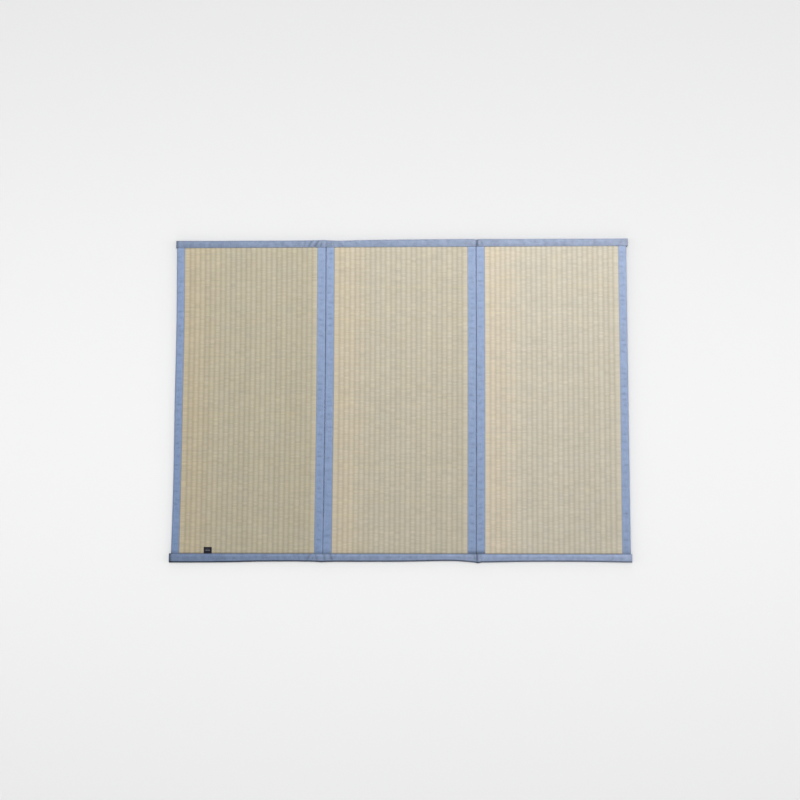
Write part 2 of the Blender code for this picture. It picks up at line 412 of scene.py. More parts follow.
def makeRushMaterial():
    material, shader = newMaterial("woven rush")
    tree = material.node_tree
    flat = splitVector(tree, weavePlace(tree))
    ribs = flat[0]
    rows = flat[1]
    rib = mathNode(tree, "FLOOR", ribs)
    panel = mathNode(tree, "FLOOR", mathNode(tree, "DIVIDE", ribs, rushFinish["panelSeries"]))
    intoPanel = mathNode(tree, "MULTIPLY_ADD", panel, -rushFinish["panelSeries"], ribs)
    intoPanel = mathNode(tree, "DIVIDE", intoPanel, matLayout["ribs"])
    stalk = mathNode(tree, "ADD", mathNode(tree, "ADD", rows, rib), 1.0)
    stalk = mathNode(tree, "FLOOR", mathNode(tree, "DIVIDE", stalk, 2.0))
    stalk = mathNode(tree, "SUBTRACT", mathNode(tree, "MULTIPLY", stalk, 2.0), rib)

    # each stalk has a tone of its own all the way across, and another where it shows in one rib
    stalkTone = oneInEach(tree, stalk, panel)
    ribNoise = addNode(tree, "TexWhiteNoise", noise_dimensions="1D")
    connect(tree, ribNoise.inputs["W"], rib)
    tone = mathNode(tree, "SUBTRACT", stalkTone, 0.5)
    tone = mathNode(tree, "MULTIPLY", tone, 0.4)
    show = mathNode(tree, "SUBTRACT", oneInEach(tree, stalk, rib), 0.5)
    tone = mathNode(tree, "ADD", tone, show)
    tone = mathNode(tree, "MULTIPLY_ADD", tone, rushFinish["stalkTone"], 1.0)
    ribTone = mathNode(tree, "SUBTRACT", ribNoise.outputs["Value"], 0.5)
    tone = mathNode(tree, "MULTIPLY_ADD", ribTone, rushFinish["ribTone"], tone)
    for start, apart, every, amount in (
        (rib, 3.7, 0.16, rushFinish["bundleTone"]),
        (panel, 9.3, 0.21, rushFinish["courseTone"]),
    ):
        across = mathNode(tree, "MULTIPLY", start, apart)
        drift = slowDrift(tree, across, mathNode(tree, "MULTIPLY", rows, every))
        tone = mathNode(tree, "MULTIPLY_ADD", drift, amount, tone)

    # the stalks' root ends, at the left of each panel, are tanner than their tips
    tip = rangeNode(tree, intoPanel, 0.04, 0.36, 0.0, 1.0, smooth=True)
    # painted light: each panel is paler than the one to its left, standing in for a sheen that grows to
    # the right
    across = mathNode(tree, "DIVIDE", panel, matLayout["panels"] - 1)
    base = mixColours(tree, "MIX", across, rushFinish["leftColour"], rushFinish["rightColour"])
    root = mixColours(tree, "MIX", tip, rushFinish["rootTint"], (1.0, 1.0, 1.0, 1.0))
    base = multiplyColours(tree, base, root)
    hue = addNode(tree, "ValToRGB")
    hue.color_ramp.interpolation = "CONSTANT"
    stops = hue.color_ramp.elements
    stops[0].color = (0.988, 1.006, 0.992, 1.0)
    stops[1].position = 0.35
    stops[1].color = (1.0, 1.0, 1.0, 1.0)
    for position, colour in ((0.7, (1.012, 0.996, 0.985, 1.0)), (0.9, (1.012, 1.003, 0.94, 1.0))):
        stops.new(position).color = colour
    connect(tree, hue.inputs["Fac"], stalkTone)
    base = multiplyColours(tree, base, hue.outputs["Color"])
    base = multiplyColours(tree, base, greyNode(tree, tone))

    # patches, then painted shade: darker valleys between the ribs, and darker rows where the stalks run
    # in under the bands
    place = addNode(tree, "TexCoord").outputs["Object"]
    patches = placeGroup(tree, unevenTone, Place=place, Scale=26.0, Light=0.035, Tint=0.022)
    base = multiplyColours(tree, base, patches.outputs["Colour"])
    fromValley = mathNode(tree, "PINGPONG", ribs, 0.5)
    valley = rangeNode(tree, fromValley, 0.0, 0.42, 1.0, 0.0, smooth=True)
    fromTapes = mathNode(tree, "PINGPONG", intoPanel, 0.5)
    valley = mathNode(tree, "MULTIPLY", valley, rangeNode(tree, fromTapes, 0.006, 0.022, 0.0, 1.0))
    shade = rangeNode(tree, valley, 0.0, 1.0, 1.0, rushFinish["valleyShade"])
    # painted shade where the stalks run in under the bands, deeper at the near one
    nearBandShade = rangeNode(tree, rows, -1.0, 3.0, 0.62, 1.0, smooth=True)
    lastRow = 2 * round(rushPanel["ribsEnd"] * 2 / rushPanel["stalkPitch"])
    farBandShade = rangeNode(tree, rows, lastRow - 1.5, lastRow + 1.0, 1.0, 0.90, smooth=True)
    shade = mathNode(tree, "MULTIPLY", shade, mathNode(tree, "MULTIPLY", nearBandShade, farBandShade))
    shaded = addNode(tree, "CombineColor")
    connect(tree, shaded.inputs[0], shade)
    connect(tree, shaded.inputs[1], shade)
    connect(tree, shaded.inputs[2], mathNode(tree, "MULTIPLY_ADD", valley, -0.03, shade))
    connect(tree, shader.inputs["Base Color"], multiplyColours(tree, base, shaded.outputs[0]))
    shader.inputs["Roughness"].default_value = rushFinish["roughness"]
    shader.inputs["Specular IOR Level"].default_value = 0.5

    # two fine stalks side by side in each raised bundle, and the fibres along them
    pair = mathNode(tree, "POWER", roundWave(tree, rows), 0.6)
    stretched = addNode(tree, "Mapping")
    connect(tree, stretched.inputs["Vector"], place)
    stretched.inputs["Scale"].default_value = (90.0, 2600.0, 2600.0)
    fibres = addNode(tree, "TexNoise", noise_dimensions="3D")
    connect(tree, fibres.inputs["Vector"], stretched.outputs[0])
    fibres.inputs["Scale"].default_value = 1.0
    fibres.inputs["Detail"].default_value = 2.0
    height = mathNode(tree, "MULTIPLY_ADD", fibres.outputs["Fac"], 0.3, pair)
    addBump(tree, shader, height, 0.35, 0.0003)
    return material


def panelRows():
    # every line of points along a panel: y, its number in half stalks, and whether it lies under a band
    ends = rushPanel["ribsEnd"]
    halfStalks = 2 * round(ends * 2 / rushPanel["stalkPitch"])
    step = 2 * ends / halfStalks
    rows = [(-ends + number * step, number, False) for number in range(halfStalks + 1)]
    near = [(-rushPanel["cutNear"], -18, True), (-rushPanel["tuck"], -1, True)]
    far = [(rushPanel["tuck"], halfStalks + 1, True), (rushPanel["cutFar"], halfStalks + 18, True)]
    return near + rows + far


def buildRushPanel(index, material):
    rows = panelRows()
    ribs = matLayout["ribs"]
    spots = rushPanel["pointSpots"]
    perRib = len(spots)
    columns = 5 + ribs * perRib
    rng = Random(31 + index)
    ribRise = [rushPanel["ribRise"] * rng.uniform(0.9, 1.08) for rib in range(ribs)]
    lean = rushPanel["ribLean"]
    ribLean = [rng.uniform(-lean, lean) for rib in range(ribs)]
    lifts = [[rng.uniform(-1.0, 1.0) * rushPanel["stalkUneven"] for row in rows] for rib in range(ribs)]
    slips = [[rng.uniform(-1.0, 1.0) * rushPanel["stalkSlip"] for row in rows] for rib in range(ribs)]
    tapeReach = matLayout["jointGap"] / 2 + matLayout["tapeWidth"] + rushPanel["tapeGap"]

    edges = []
    for y, number, tucked in rows:
        left = lineX(index, y)
        right = lineX(index + 1, y)
        edges.append((left, right, left + tapeReach, right - tapeReach))

    form = bmesh.new()
    weave = form.verts.layers.float_vector.new("weave")
    bmesh.ops.create_grid(form, x_segments=columns - 1, y_segments=len(rows) - 1, size=0.5)
    series = index * rushFinish["panelSeries"]
    for vert in form.verts:
        column = round((vert.co.x + 0.5) * (columns - 1))
        row = round((vert.co.y + 0.5) * (len(rows) - 1))
        y, number, tucked = rows[row]
        left, right, leftStep, rightStep = edges[row]
        fieldLeft = leftStep + rushPanel["edgeStep"]
        fieldRight = rightStep - rushPanel["edgeStep"]
        pitch = (fieldRight - fieldLeft) / ribs
        under = rushPanel["cornerTop"] if tucked else rushPanel["underTapeTop"]
        z = rushPanel["tuckedTop"] if tucked else rushPanel["valleyHeight"]
        slip = 0.0
        if column == 0:
            x, z = left + rushPanel["sideInset"], under
        elif column == 1:
            x, z = leftStep, under
        elif column == columns - 2:
            x, z = rightStep, under
        elif column == columns - 1:
            x, z = right - rushPanel["sideInset"], under
        else:
            rib, spot = divmod(column - 2, perRib)
            x = fieldLeft + (rib + spots[spot]) * pitch
            if not tucked:
                fromEdge = min(x - fieldLeft, fieldRight - x, rushPanel["ribsEnd"] - abs(y))
                eased = ramp(fromEdge, -0.004, rushPanel["easeReach"])
                z += rushPanel["fullness"] * eased
                if spot == 0 and rib in (0, ribs):
                    z += rushPanel["ribRise"] * 0.4  # beside a tape a rib doesn't end in a valley
                elif spot > 0:
                    arch = rushPanel["archHeights"][spot] * (0.55 + 0.45 * eased)
                    over = 1.0 if (number + rib) % 2 == 0 else -1.0
                    z += ribRise[rib] * arch + ribLean[rib] * (spots[spot] - 0.5) * 2.0
                    z += (over * rushPanel["stalkRelief"] + lifts[rib][row]) * (0.6 + 0.4 * (spot == 2))
                    slip = slips[rib][row]
        if abs(y) > rushPanel["tuck"]:
            z -= rushPanel["cutDrop"]
        vert.co = (x, y + slip, z)
        vert[weave] = (series + (x - fieldLeft) / pitch, number, 0.0)
    for face in form.faces:
        face.smooth = True

    # the hidden walls under the tapes, then the flat underside
    rim = [edge for edge in form.edges if edge.is_boundary]
    rim = extrudeRim(form, rim, lambda point: (point.x, point.y, lowEdge(point)))
    rim = extrudeRim(form, rim, lambda point: insidePoint(index, point, tapeReach))
    rimVerts = list({vert for edge in rim for vert in edge.verts})
    bmesh.ops.remove_doubles(form, verts=rimVerts, dist=0.00002)
    rim = [edge for edge in form.edges if edge.is_boundary]
    rim = extrudeRim(form, rim, lambda point: (point.x, point.y, 0.0))
    bmesh.ops.contextual_create(form, geom=rim)
    panelName = ("left", "middle", "right")[index]
    piece = finishPiece("woven_rush_" + panelName, form, material, "rush_panel_" + panelName)
    return piece


def lowEdge(point):
    # the lower flanges are thinner stacked where a side tape runs in under a band
    atCorner = abs(point.y) > rushPanel["tuck"] - 0.00001 and point.z < rushPanel["cornerTop"] + 0.00001
    return rushPanel["cornerBottom"] if atCorner else rushPanel["underTape"]


def insidePoint(index, point, tapeReach):
    y = min(max(point.y, -rushPanel["tuck"]), rushPanel["tuck"])
    left = lineX(index, y) + tapeReach
    right = lineX(index + 1, y) - tapeReach
    return (min(max(point.x, left), right), y, point.z)


def extrudeRim(form, rim, move):
    made = bmesh.ops.extrude_edge_only(form, edges=rim)["geom"]
    for item in made:
        if isinstance(item, bmesh.types.BMVert):
            item.co = move(item.co)
    for item in made:
        if isinstance(item, bmesh.types.BMFace):
            item.smooth = False
    return [item for item in made if isinstance(item, bmesh.types.BMEdge)]


rushMaterial = makeRushMaterial()
rushPieces = [buildRushPanel(index, rushMaterial) for index in range(matLayout["panels"])]
print("Rush panels woven")

# ---- cloth tapes

clothTape = {
    "thickness": 0.001,
    "foldRadius": 0.0035,
    "stitchLine": 0.0029,  # in from the sewn-down edge
    "stitchSink": 0.00016,
    "foldSteps": 7,
    "seamSpots": (0.0006, 0.0014, 0.0022, 0.0029, 0.0036, 0.0048),
    "flangeShares": (0.15, 0.32, 0.49, 0.66, 0.83),  # of the way from the last of those to the fold
}

clothFinish = {
    "thread": 0.00055,
    "roughness": 0.88,
    "creaseShade": 0.28,
}

sideCloth = {
    "name": "blue tape cloth",
    "warpColour": (0.174, 0.261, 0.462, 1.0),
    "weftColour": (0.263, 0.353, 0.536, 1.0),
    "sheenColour": (0.41, 0.49, 0.67, 1.0),
    "sheenRight": 0.36,
    "sheenFar": 0.30,
    "seamShade": 0.08,
    "seamReach": 0.0025,
    "patches": 0.08,
}

farBandCloth = {
    "name": "far band cloth",
    "warpColour": (0.166, 0.227, 0.362, 1.0),
    "weftColour": (0.250, 0.305, 0.420, 1.0),
    "sheenColour": (0.40, 0.45, 0.58, 1.0),
    "sheenRight": 0.56,
    "sheenFar": 0.06,
    "seamShade": 0.14,
    "seamReach": 0.0025,
    "patches": 0.16,
}

nearBandCloth = {
    "name": "near band cloth",
    "warpColour": (0.1435, 0.206, 0.350, 1.0),
    "weftColour": (0.2155, 0.277, 0.406, 1.0),
    "sheenColour": (0.42, 0.50, 0.70, 1.0),
    "sheenRight": 0.765,
    "sheenFar": 0.0,
    "seamShade": 0.42,
    "seamReach": 0.0042,
    "patches": 0.14,
}


def makeClothMaterial(cloth):
    material, shader = newMaterial(cloth["name"])
    tree = material.node_tree
    weave = weavePlace(tree)
    flat = splitVector(tree, weave)
    threads = placeGroup(tree, plainWeave, Place=weave, Thread=clothFinish["thread"])
    base = mixColours(tree, "MIX", threads.outputs["Across"], cloth["warpColour"], cloth["weftColour"])
    place = addNode(tree, "TexCoord").outputs["Object"]
    # painted sheen: paler towards the right and far sides
    sheenMix = placeGroup(tree, paintedSheen, Place=place, Right=cloth["sheenRight"], Far=cloth["sheenFar"])
    base = mixColours(tree, "MIX", sheenMix.outputs["Mask"], base, cloth["sheenColour"])
    slub = rangeNode(tree, threads.outputs["Slub"], 0.0, 1.0, 0.93, 1.07)
    # painted shade where the threads dip between their crossings
    gap = rangeNode(tree, threads.outputs["Height"], 0.0, 0.6, 0.78, 1.0)
    tone = mathNode(tree, "MULTIPLY", slub, gap)
    # painted shade: darker in puckers and creases, along the outer fold, near the band ends and at the
    # joint marks, and along the sewn-down hem
    paintedShade = rangeNode(tree, flat[2], 0.0, 3.0, 1.0, 1.0 - 3 * clothFinish["creaseShade"])
    atSeam = 1.0 - cloth["seamShade"]
    seam = rangeNode(tree, flat[1], 0.0005, cloth["seamReach"], atSeam, 1.0, smooth=True)
    tone = mathNode(tree, "MULTIPLY", tone, mathNode(tree, "MULTIPLY", paintedShade, seam))
    base = multiplyColours(tree, base, greyNode(tree, tone))
    patches = placeGroup(tree, unevenTone, Place=place, Scale=70.0, Light=cloth["patches"], Tint=0.015)
    base = multiplyColours(tree, base, patches.outputs["Colour"])
    connect(tree, shader.inputs["Base Color"], base)
    shader.inputs["Roughness"].default_value = clothFinish["roughness"]
    shader.inputs["Specular IOR Level"].default_value = 0.2
    shader.inputs["Sheen Weight"].default_value = 0.08
    shader.inputs["Sheen Roughness"].default_value = 0.5
    addBump(tree, shader, threads.outputs["Height"], 0.4, 0.00015)
    return material


def foldArc(reach, middle, half, radius, steps):
    # round the fold from the upper flange to the lower one, as (reach, height) pairs
    arc = []
    height = min(radius, half)
    for side in (1, -1):
        for step in range(steps + 1):
            turn = step / steps * pi / 2
            angle = pi / 2 - turn if side == 1 else -turn
            rise = side * (half - height) + height * sin(angle)
            arc.append((reach - radius + radius * cos(angle), middle + rise))
    return arc


def tapeProfile(width, bottom, top, space, relief, radius):
    # closed section of a folded tape with rounded hems, as (reach, height) pairs; relief shapes its top
    thick = clothTape["thickness"]
    middle = (bottom + top) / 2
    half = (top - bottom) / 2
    shoulder = relief(width - radius)
    seam = clothTape["seamSpots"]
    span = width - radius - seam[-1]
    flat = list(seam) + [seam[-1] + share * span for share in clothTape["flangeShares"]]
    outer = [(spot, top + relief(spot)) for spot in flat]
    outerFold = foldArc(width, middle, half, radius, clothTape["foldSteps"])
    outer += loweredArc(outerFold, middle, half, shoulder)
    under = [(width - radius) * 0.9, (width - radius) * 0.45, 0.0008]
    outer += [(spot, bottom) for spot in under]
    hem = ((0.0001, 0.2), (0.0, 0.5), (0.0001, 0.8))
    lowerHem = [(spot, bottom + thick * share) for spot, share in hem]
    innerLow = [(spot, middle - space / 2) for spot in reversed(under)]
    innerFold = foldArc(width - thick, middle, space / 2, radius - thick, 3)[::-1]
    innerFold = loweredArc(innerFold, middle, space / 2, shoulder)
    innerTop = [(spot, middle + space / 2 + relief(spot)) for spot in reversed(flat) if spot != flat[1]]
    edge = top + relief(0.0)
    upperHem = [(spot, edge - thick * share) for spot, share in reversed(hem)]
    return upperHem + outer + lowerHem + innerLow + innerFold + innerTop


def loweredArc(arc, middle, half, shoulder):
    # the upper half of a fold, scaled to meet a flange that stands higher or lower by shoulder
    return [(reach, z + shoulder * max(z - middle, 0.0) / half) for reach, z in arc]


def acrossSpots(profile):
    # distance round the section at each of its points, for the weave
    lengths = [0.0]
    for before, after in zip(profile, profile[1:]):
        lengths.append(lengths[-1] + sqrt((after[0] - before[0]) ** 2 + (after[1] - before[1]) ** 2))
    return lengths


def weaveSpots(profile, along, dipAt, depth, foldEdgeShade, extraShade=0.0):
    # for each point of a section: its place along and across the cloth, and its painted shade: by how
    # deep in a pucker it lies, along the outer fold, and any extra painted shade given for the section
    low = min(point[1] for point in profile)
    middle = (max(point[1] for point in profile) + low) / 2
    width = max(point[0] for point in profile)
    found = []
    for (reach, z), across in zip(profile, acrossSpots(profile)):
        sunk = min(max(dipAt(reach) / depth, 0.0), 1.5) if z > middle else 0.0
        foldShade = foldEdgeShade * ramp(reach, width - 0.0050, width - 0.0016)
        found.append((along, across, sunk + foldShade + extraShade))
    return found


def crownedRelief(tape, reach, width, swell):
    # the tape's own curve across its width, fuller or flatter by swell, pressed down along the stitches
    sewn = -clothTape["stitchSink"] * bell(reach, clothTape["stitchLine"], 0.0009)
    return sewn + smoothValue(reach / width, tape["crownSpots"], tape["crownHeights"]) * (1.0 + swell)


sideTape = {
    "top": 0.0096,
    "tuckedTop": 0.0090,
    "tuckedBottom": 0.0013,
    "crownSpots": (0.0, 0.12, 0.3, 0.6, 0.8, 0.87),
    "crownHeights": (-0.00018, -0.00014, 0.00012, 0.00022, 0.00020, 0.0),
    "stationStep": 0.0042,
    "puckerDepth": 0.0005,
    "puckerReach": 0.0026,
    "puckerEvery": 0.018,
    "shadedDepth": 0.0005,
    "nearEndShade": 0.8,  # painted shade just before the near band
    "nearEndShadeReach": 0.011,
    "pressedRadius": 0.42,  # the share of its radius that the fold keeps where a joint is pressed shut
    "pressedReach": (-0.42, -0.26),
    "sewnTo": 0.4445,
    "cutSize": (0.054, 0.931),
}

sideTapes = (
    {"node": "binding_left_outer", "line": 0, "side": -1, "foldEdgeShade": 0.4,
     "drawnIn": (0.0015, 0.0021, 0.0013, 0.0012, 0.0011)},
    {"node": "binding_left_inner", "line": 1, "side": 1},
    {"node": "binding_middle_left", "line": 1, "side": -1},
    {"node": "binding_middle_right", "line": 2, "side": 1, "nearEndShade": 1.7},
    {"node": "binding_right_inner", "line": 2, "side": -1, "nearEndShade": 1.8},
    {"node": "binding_right_outer", "line": 3, "side": 1,
     "drawnIn": (0.0003, 0.0010, 0.0016, 0.0015, 0.0015)},
)


def makePuckers(rng, low, high, every):
    # places where the cloth draws in between stitches, unevenly spaced
    puckers = []
    place = low
    while place < high:
        place += every * rng.uniform(0.55, 1.5)
        puckers.append((place, rng.uniform(0.3, 1.0), rng.uniform(0.35, 0.65), rng.uniform(-0.25, 0.25)))
    return puckers


def puckerDip(puckers, place, reach, width, depth, wide):
    dip = 0.0
    for middle, strength, spot, slant in puckers:
        away = place - middle - slant * (reach - width * spot)
        if abs(away) < 4 * wide:
            dip += strength * depth * bell(away, 0.0, wide) * bell(reach, width * spot, width * 0.32)
    return dip


def sideStations():
    ends = rushPanel["ribsEnd"]
    count = round(2 * ends / sideTape["stationStep"])
    rows = [(-ends + number * 2 * ends / count, False) for number in range(count + 1)]
    near = [(-rushPanel["cutNear"], True), (-rushPanel["tuck"], True)]
    far = [(rushPanel["tuck"], True), (rushPanel["cutFar"], True)]
    return near + rows + far


def buildSideTape(number, material, threadMaterial):
    tape = sideTapes[number]
    rng = Random(70 + number)
    width = matLayout["tapeWidth"]
    foldStart = width - clothTape["foldRadius"]
    puckers = makePuckers(rng, -rushPanel["tuck"], rushPanel["tuck"], sideTape["puckerEvery"])
    side = tape["side"]
    sections = []
    spots = []
    tops = []
    for y, tucked in sideStations():
        fold = lineX(tape["line"], y) - side * matLayout["jointGap"] / 2
        bottom = sideTape["tuckedBottom"] if tucked else 0.0
        top = sideTape["tuckedTop"] if tucked else sideTape["top"]
        if abs(y) > rushPanel["tuck"]:
            top -= rushPanel["cutDrop"]
        swell = 0.5 * noise.noise(Vector((y * 22.0, number * 3.7, 0.5)))
        inset = 0.00025 - 0.0002 * noise.noise(Vector((y * 60.0, number * 5.1, 2.0)))
        if "drawnIn" in tape:  # the mat's own two edges are drawn in by their stitches, unevenly
            inset += alongDepth(y, tape["drawnIn"])

        def dipAt(reach):
            dip = puckerDip(puckers, y, reach, width, sideTape["puckerDepth"], sideTape["puckerReach"])
            return 0.0 if tucked else dip * (1.0 - ramp(reach, foldStart - 0.003, width))

        def relief(reach):
            return 0.0 if tucked else crownedRelief(sideTape, reach, width, swell) - dipAt(reach)

        space = top - bottom - 2 * clothTape["thickness"]
        radius = clothTape["foldRadius"]
        if tape["line"] == 1:  # this joint is pressed shut towards its near end
            kept = sideTape["pressedRadius"]
            radius *= kept + (1.0 - kept) * ramp(y, *sideTape["pressedReach"])
        profile = tapeProfile(width, bottom, top, space, relief, radius)
        section = []
        for reach, z in profile:
            drawn = inset * ramp(reach, 0.006, width)
            section.append(Vector((fold - side * (width - reach + drawn), y, z)))
        sections.append(section)
        foldEdgeShade = tape.get("foldEdgeShade", 0.0)
        nearEndShadeShare = 1.0 - ramp(y + rushPanel["ribsEnd"], 0.0, sideTape["nearEndShadeReach"])
        nearEndShade = tape.get("nearEndShade", sideTape["nearEndShade"]) * nearEndShadeShare
        depth = sideTape["shadedDepth"]
        spots.append(weaveSpots(profile, y + number, dipAt, depth, foldEdgeShade, nearEndShade))
        if not tucked:
            tops.append((y, top + relief(clothTape["stitchLine"])))
    form = loftSections(sections, spots)
    piece = finishPiece("folded_" + tape["node"], form, material, tape["node"])

    def stitchPlace(y):
        fold = lineX(tape["line"], y) - side * matLayout["jointGap"] / 2
        z = smoothValue(y, *zip(*tops))
        return Vector((fold - side * (width - clothTape["stitchLine"]), y, z))

    sewn = (-sideTape["sewnTo"], sideTape["sewnTo"])
    stitches = sewStitches("stitches_" + tape["node"], stitchPlace, *sewn, threadMaterial, rng)


stitching = {
    "length": 0.0034,
    "gap": 0.0024,
    "thread": 0.00055,
    "twistScale": 1800.0,
    "darkColour": (0.19, 0.27, 0.46, 1.0),
    "paleColour": (0.34, 0.43, 0.62, 1.0),
    "roughness": 0.6,
}


def sewStitches(name, stitchPlace, low, high, material, rng):
    # a row of short stitches along a seam, each a slim rounded body half sunk in the cloth
    form = bmesh.new()
    pitch = stitching["length"] + stitching["gap"]
    count = int((high - low) / pitch)
    for number in range(count):
        middle = low + (number + 0.5) * pitch
        start = stitchPlace(middle - stitching["length"] / 2)
        end = stitchPlace(middle + stitching["length"] / 2)
        along = end - start
        turn = along.to_track_quat("Z", "X").to_matrix().to_4x4()
        size = Matrix.Diagonal((stitching["thread"] / 2, stitching["thread"] / 2, along.length / 2, 1.0))
        slip = Vector((rng.uniform(-0.00008, 0.00008), rng.uniform(-0.00008, 0.00008), 0.00004))
        place = Matrix.Translation((start + end) / 2 + slip)
        place = place @ turn @ size
        bmesh.ops.create_uvsphere(form, u_segments=6, v_segments=4, radius=1.0, matrix=place)
    for face in form.faces:
        face.smooth = True
    return finishPiece(name, form, material)


def makeThreadMaterial():
    material, shader = newMaterial("blue sewing thread")
    tree = material.node_tree
    twist = addNode(tree, "TexNoise", noise_dimensions="3D")
    connect(tree, twist.inputs["Vector"], addNode(tree, "TexCoord").outputs["Object"])
    twist.inputs["Scale"].default_value = stitching["twistScale"]
    base = mixColours(tree, "MIX", twist.outputs["Fac"], stitching["darkColour"], stitching["paleColour"])
    connect(tree, shader.inputs["Base Color"], base)
    shader.inputs["Roughness"].default_value = stitching["roughness"]
    return material


sideMaterial = makeClothMaterial(sideCloth)
threadMaterial = makeThreadMaterial()
for number in range(len(sideTapes)):
    buildSideTape(number, sideMaterial, threadMaterial)
print("Side tapes folded and sewn")

# ---- end bands

endBand = {
    "top": 0.0096,
    "overTape": 0.0105,
    "climb": 0.0065,
    "jointDip": 0.0004,
    "jointDipReach": 0.004,
    "stationStep": 0.0032,
    "endSlit": 0.0004,
    "endShares": (0.35, 0.65, 0.85, 0.96, 1.0),
    "puckerDepth": 0.0005,
    "puckerReach": 0.0042,
    "creaseDepth": 0.0010,  # the depth that's shaded in full
    "puckerEvery": 0.022,
    "sewnFrom": 0.002,  # in from each end
}

endBands = (
    {
        "node": "band_far",
        "side": 1,
        "width": 0.021,
        "foldRadius": 0.0045,
        "foldEdgeShade": (0.7, 0.5),  # painted shade along the outer fold, at the left end and at the right one
        "leftEndShade": 1.2,
        "leftEndShadeReach": (0.004, 0.010),
        "jointShadeMark": (0.2232, 0.0042, 0.9),  # painted shade in the crease at the second joint: place, half width, amount
        "crownSpots": (0.0, 0.1, 0.26, 0.45, 0.65, 0.84),
        "crownHeights": (-0.00022, -0.00012, 0.00042, 0.00042, 0.0, -0.00085),
        "cutSize": (0.047, 1.330),
        "leftOver": 0.001,
        "rightOver": 0.003,
        "unevenSpots": (  # where the outer edge stands out by the lengths below
            -0.66, -0.47, -0.314, -0.238, -0.227, -0.21, -0.183, -0.12,
            0.0, 0.163, 0.212, 0.221, 0.23, 0.34, 0.466, 0.66,
        ),
        "standOut": (
            0.0008, 0.0005, 0.0003, 0.0011, 0.0015, 0.0001, -0.0009, 0.0006,
            0.0017, 0.0023, 0.0020, 0.0006, 0.0021, 0.0017, 0.0016, 0.0014,
        ),
        "creases": (  # place, slant, depth, half width: soft troughs across the band
            (-0.283, 0.25, 0.0007, 0.0030),
            (-0.266, 0.55, 0.0012, 0.0034),
            (-0.247, 0.60, 0.0016, 0.0036),
            (-0.2335, 0.2, 0.0009, 0.0026),
            (-0.2185, 0.0, 0.0009, 0.0022),
            (-0.2040, 0.0, 0.0008, 0.0018),
            (-0.1970, 0.0, 0.0006, 0.0016),
            (-0.176, -0.9, 0.0005, 0.0030),
            (0.2227, 0.1, 0.0014, 0.0030),
            (0.236, -0.3, 0.0005, 0.0028),
        ),
    },
    {
        "node": "band_near",
        "side": -1,
        "width": 0.023,
        "foldRadius": 0.008,
        "foldEdgeShade": (3.1, 1.8),
        "leftEndShade": 1.9,
        "leftEndShadeReach": (-0.001, 0.006),
        "jointShadeMark": (0.2212, 0.0022, 1.1),
        "crownSpots": (0.0, 0.08, 0.15, 0.26, 0.37, 0.5, 0.62, 0.8),
        "crownHeights": (-0.0006, -0.00064, -0.0004, 0.00065, 0.00080, 0.00045, -0.00015, -0.0013),
        "cutSize": (0.052, 1.330),
        "leftOver": 0.0042,
        "rightOver": 0.003,
        "unevenSpots": (
            -0.66, -0.56, -0.47, -0.42, -0.314, -0.24, -0.227, -0.208, -0.183,
            0.0, 0.15, 0.2125, 0.2235, 0.2345, 0.25, 0.34, 0.466, 0.5625, 0.66,
        ),
        "standOut": (
            0.0032, 0.0028, 0.0017, 0.0004, -0.0006, 0.0004, 0.0013, 0.0006, 0.0002,
            -0.0004, -0.0027, 0.0013, 0.0036, 0.0012, 0.0012, -0.0006, -0.0013, -0.0008, 0.0008,
        ),
        "creases": (
            (-0.290, 0.3, 0.0006, 0.0032),
            (-0.262, -0.4, 0.0012, 0.0036),
            (-0.251, 0.3, 0.0008, 0.0022),
            (-0.2395, 0.3, 0.0008, 0.0026),
            (-0.2165, 0.0, 0.0010, 0.0026),
            (-0.196, 0.4, 0.0010, 0.0030),
            (-0.186, -0.2, 0.0006, 0.0024),
            (0.2212, 0.05, 0.0015, 0.0028),
            (0.2310, 0.3, 0.0007, 0.0024),
            (0.2145, 0.2, 0.0006, 0.0022),
        ),
    },
)


def bandTop(band, x):
    # height of a band's upper face: higher where it runs over the side tapes, with a dip at each joint
    y = band["side"] * matLayout["rushDepth"] / 2
    foot = matLayout["jointGap"] / 2 + matLayout["tapeWidth"] + 0.0010
    distances = [abs(x - lineX(line, y)) for line in range(matLayout["panels"] + 1)]
    nearest = min(distances)
    lift = (endBand["overTape"] - endBand["top"]) * (1.0 - ramp(nearest, foot, foot + endBand["climb"]))
    atJoint = 0 < distances.index(nearest) < matLayout["panels"]
    dip = endBand["jointDip"] * bell(nearest, 0.0, endBand["jointDipReach"]) if atJoint else 0.0
    return endBand["top"] + lift - dip


def bandStations(band):
    y = band["side"] * matLayout["rushDepth"] / 2
    left = lineX(0, y)
    right = lineX(matLayout["panels"], y)
    count = round((right - left) / endBand["stationStep"])
    along = [left + number * (right - left) / count for number in range(count + 1)]
    before = [left - share * band["leftOver"] for share in reversed(endBand["endShares"])]
    after = [right + share * band["rightOver"] for share in endBand["endShares"]]
    return before + along + after


